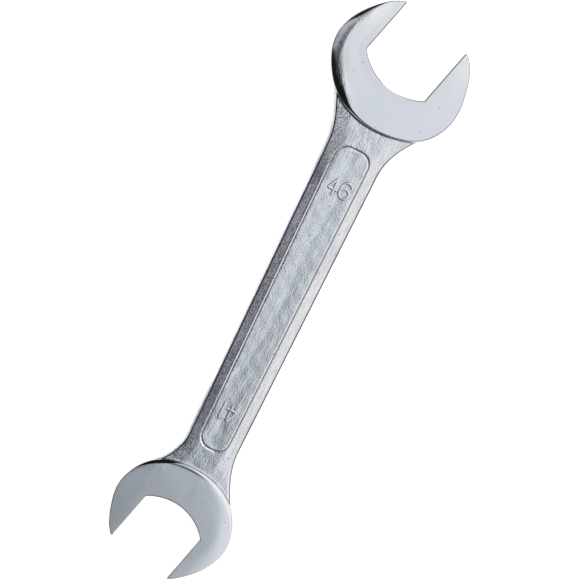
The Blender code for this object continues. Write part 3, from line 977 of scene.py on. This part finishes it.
def ground_chrome():
    """Chrome over the ground faces of the heads: even, with fine lines, a few pits and forged skin left on the roll.

    A painted shade line, a dark crescent, runs along the inner edge of the small head's roll; painted shade lines
    also darken the rim and the jaw's edge, and painted highlights lighten the large head's tip and its +Y side.
    """
    material, n, place = metal("chrome_over_ground_faces")
    rim, jaw, line, left = [n.mark(name) for name in MARKS]
    axis = n.axes(place)
    grain = n.group(FORGED_GRAIN, Vector=place, Grain=1200.0, Streaks=0.0)
    pits = n.group(PLATE_PITS, Vector=place, Cells=170.0, Size=0.06)["Mask"]
    lines = n.group(GROUND_LINES, Vector=place, Turn=(0, 0, GRINDING_TURN))["Lines"]
    edge = n.times(n.ease(rim, 9.0, 2.5), left)
    # A lighter, rougher band along the jaw; and painted highlight, a lighter colour where light falls, at the large
    # head's tip and on its +Y side
    band = n.times(n.ease(jaw, 5.4, 4.6), n.spread(jaw, 0.2, 0.6))
    painted_tip_highlight = n.ease(axis["X"], 0.145, 0.172, 0.0, 0.9)
    painted_side_highlight = n.times(n.spread(axis["X"], 0.09, 0.10), n.spread(axis["Y"], 0.004, 0.030, 0.0, 0.4))
    tint = n.mix(grain["Patch"], (0.665, 0.69, 0.75, 1), (0.71, 0.735, 0.785, 1))
    tint = n.mix(n.most(n.times(band, 0.25), n.most(painted_tip_highlight, painted_side_highlight)), tint, (0.80, 0.80, 0.82, 1))
    tint = n.mix(n.times(pits, 0.7), tint, (0.22, 0.22, 0.25, 1))
    # Painted shade: dark lines just inside the rim, as strong as the roll table gives, and along the jaw's edge
    seam = n.spread(n.less(rim, n.spread(line, 0.5, 1.0, 0.0, 0.4)), 0.5, 0.2)
    seam = n.most(n.times(seam, n.spread(rim, 0.11, 0.15)), n.spread(jaw, 0.75, 0.35))
    tint = n.mix(n.times(seam, line), tint, PAINTED_SHADE_COLOUR)
    # Painted shade: a dark crescent about two millimetres in from the rim of the small head's roll, towards +Y
    painted_crescent_shade = n.times(n.ease(n.apart(rim, 1.95), 0.75, 0.15), n.spread(axis["X"], -0.09, -0.10),
                     n.ease(axis["Y"], -0.009, 0.004, 0.0, 0.85), n.spread(axis["Y"], 0.024, 0.018))
    tint = n.mix(painted_crescent_shade, tint, PAINTED_SHADE_COLOUR)
    rough = n.less(n.spread(grain["Patch"], 0, 1, 0.13, 0.18), n.times(edge, 0.08))
    rough = n.plus(rough, n.times(band, 0.05))
    coarse = n.times(edge, n.ease(rim, 2.0, 5.5, 0.35, 2.6), n.spread(rim, 0.15, 0.6))
    skin = n.times(grain["Height"], n.plus(coarse, 0.10))
    height = n.less(n.plus(skin, n.times(lines, 0.05)), n.times(pits, 0.5))
    return plated(material, n, tint, rough, height, 0.00013)


def broached_chrome():
    """Chrome over the broached jaws: fine lines that run through the thickness."""
    material, n, place = metal("chrome_over_broached_jaws")
    lines = n.noise(n.drawn(place, (1.0, 1.0, 0.05)), 1500.0, 3.0, 0.6)
    grain = n.group(FORGED_GRAIN, Vector=place, Grain=1700.0, Streaks=0.1)
    tint = n.mix(lines, (0.64, 0.65, 0.69, 1), (0.76, 0.77, 0.80, 1))
    return plated(material, n, tint, n.spread(grain["Patch"], 0, 1, 0.18, 0.27), lines, 0.00002)


def figure_chrome():
    """Chrome over the raised figures: their tops a little brighter and smoother than the panel's skin."""
    material, n, place = metal("chrome_over_raised_figures")
    grain = n.group(FORGED_GRAIN, Vector=place, Grain=1500.0, Streaks=0.1)
    tint = n.mix(grain["Speckle"], (0.76, 0.77, 0.80, 1), (0.66, 0.67, 0.70, 1))
    return plated(material, n, tint, n.spread(grain["Patch"], 0, 1, 0.18, 0.26), grain["Height"], 0.00002)


# ---- pieces

def show(name, mesh, materials):
    piece = bpy.data.objects.new(name, mesh)
    bpy.context.scene.collection.objects.link(piece)
    for material in materials:
        mesh.materials.append(material)
    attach(piece, "root")
    return piece


wrench = show("wrench_body", body_mesh, [ground_chrome(), forged_chrome(), broached_chrome()])
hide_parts("wrench_forging")

raised = figure_chrome()
show("figures_46", figures_mesh("figures_46", ((0.0, FOUR), (7.1, SIX)), (66.4, 5.9), 1), [raised])
show("figures_41", figures_mesh("figures_41", ((0.0, FOUR), (6.2, ONE)), (-71.6, -5.2), -1), [raised])


# ---- floor, light and camera

PHOTO_TURN = math.radians(-63.93)
VIEW_CENTRE = (0.00133, 0.00146)
CAMERA_HEIGHT = 1.315
MEAN_TOP = 0.010
PHOTO_WIDTH = 0.3429
SENSOR_WIDTH = 36.0
FLOOR_REACH = 4.0
FLOOR_GAP = 0.0002


def make_floor():
    """Large pale floor: white as a background and in the metal, and darker where the wrench keeps light off it."""
    mesh = bpy.data.meshes.new("floor")
    corners = [(x * FLOOR_REACH, y * FLOOR_REACH, 0) for x, y in ((-1, -1), (1, -1), (1, 1), (-1, 1))]
    mesh.from_pydata(corners, [], [(0, 1, 2, 3)])
    floor = bpy.data.objects.new("floor", mesh)
    floor.location.z = -FLOOR_GAP
    bpy.context.scene.collection.objects.link(floor)
    material = bpy.data.materials.new("pale_floor")
    material.use_nodes = True
    n = Nodes(material.node_tree)
    n.tree.nodes.clear()
    rays = n.add("LightPath", {})
    seen = n.most(rays["Is Camera Ray"], rays["Is Glossy Ray"], rays["Is Transmission Ray"])
    matt = n.add("BsdfDiffuse", {"Color": (0.8, 0.8, 0.8, 1)})[0]
    glow = n.add("Emission", {"Color": (1, 0.985, 0.965, 1), "Strength": n.times(seen, 0.84)})[0]
    n.add("OutputMaterial", {"Surface": n.add("AddShader", {0: matt, 1: glow})[0]})
    mesh.materials.append(material)


# Light of the studio by direction: share of the way to the bright side, and the level or the tone there
STUDIO_LEVELS = ((-1.0, 0.012), (-0.18, 0.012), (-0.135, 0.14), (-0.095, 0.48), (-0.075, 0.505), (-0.058, 0.50),
                 (-0.046, 0.62), (-0.02, 0.76), (0.0, 0.895), (0.02, 1.0), (0.05, 1.0), (0.14, 1.0), (0.4, 0.98),
                 (1.0, 1.05))
STUDIO_TONES = ((-1.0, (0.96, 0.93, 1.0)), (-0.3, (0.95, 0.94, 1.0)), (-0.08, (0.88, 0.96, 1.0)),
                (0.05, (0.97, 0.985, 1.0)), (0.4, (1.0, 0.97, 0.93)))
STUDIO_BRIGHTEST = 1.1
STUDIO_LEAN = math.radians(30)


def ramp(n, share, stops):
    """Colour along a ramp; the first and the last of the stops (place, colour) take the ramp's own two."""
    colours = n.add("ValToRGB", {"Fac": share})["Color"]
    line = colours.node.color_ramp.elements
    for element, (place, colour) in ((line[0], stops[0]), (line[1], stops[-1])):
        element.position, element.color = place, (*colour, 1)
    for place, colour in stops[1:-1]:
        line.new(place).color = (*colour, 1)
    return colours


def make_world():
    """Studio round the table: bright on one long side of the wrench, dark on the other, pale at the horizon."""
    world = bpy.data.worlds.new("studio")
    bpy.context.scene.world = world
    world.use_nodes = True
    n = Nodes(world.node_tree)
    n.tree.nodes.clear()
    axis = n.axes(n.add("TexCoord", {})["Generated"])

    def pane(middle, sides, near, far):
        """Soft-edged bright patch: its middle and sides across X, and its near and far edges along Y."""
        return n.times(n.ease(n.apart(axis["X"], middle), *sides), n.ease(axis["Y"], *near), n.ease(axis["Y"], *far))

    across = n.less(n.times(axis["X"], math.sin(STUDIO_LEAN)), n.times(axis["Y"], math.cos(STUDIO_LEAN)))
    bend = n.less(1.0, n.times(axis["Z"], axis["Z"]))
    share = n.spread(n.less(across, n.times(bend, 0.4)), -1, 1)
    levels = ramp(n, share, [((at + 1) / 2, (level / STUDIO_BRIGHTEST,) * 3) for at, level in STUDIO_LEVELS])
    tone = ramp(n, share, [((at + 1) / 2, colour) for at, colour in STUDIO_TONES])
    window = pane(0.03, (0.17, 0.10), (0.48, 0.62), (0.88, 0.76))
    lamp = pane(0.27, (0.13, 0.07), (0.14, 0.36), (0.90, 0.78))
    brightest = n.ease(axis["X"], 0.10, 0.24, STUDIO_BRIGHTEST, 1.22 * STUDIO_BRIGHTEST)
    dark = n.times(n.ease(axis["X"], 0.28, 0.48), n.ease(axis["Y"], 0.06, 0.24))
    level = n.times(levels, brightest, n.less(1.0, n.times(dark, 0.95)))
    level = n.plus(level, n.times(window, 0.46), n.times(lamp, 0.6))
    level = n.most(level, n.times(n.ease(axis["Z"], 0.52, 0.28), 0.36))
    level = n.times(level, n.ease(axis["Z"], 0.04, 0.25, 0.6, 1.0))
    level = n.most(level, n.times(n.spread(axis["Z"], 0.16, 0.0), 0.9))
    n.add("OutputWorld", {"Surface": n.add("Background", {"Color": tone, "Strength": level})[0]})


def make_camera():
    """Camera that looks straight down, turned so that the shank lies as in the photograph."""
    data = bpy.data.cameras.new("camera")
    data.sensor_width = SENSOR_WIDTH
    data.lens = SENSOR_WIDTH * (CAMERA_HEIGHT - MEAN_TOP) / PHOTO_WIDTH
    data.clip_start = 0.05
    data.clip_end = 20.0
    camera = bpy.data.objects.new("camera", data)
    camera.location = (*VIEW_CENTRE, CAMERA_HEIGHT)
    camera.rotation_euler = (0, 0, PHOTO_TURN)
    bpy.context.scene.collection.objects.link(camera)
    bpy.context.scene.camera = camera


make_floor()
make_world()
make_camera()
bpy.context.scene.view_settings.view_transform = "Standard"
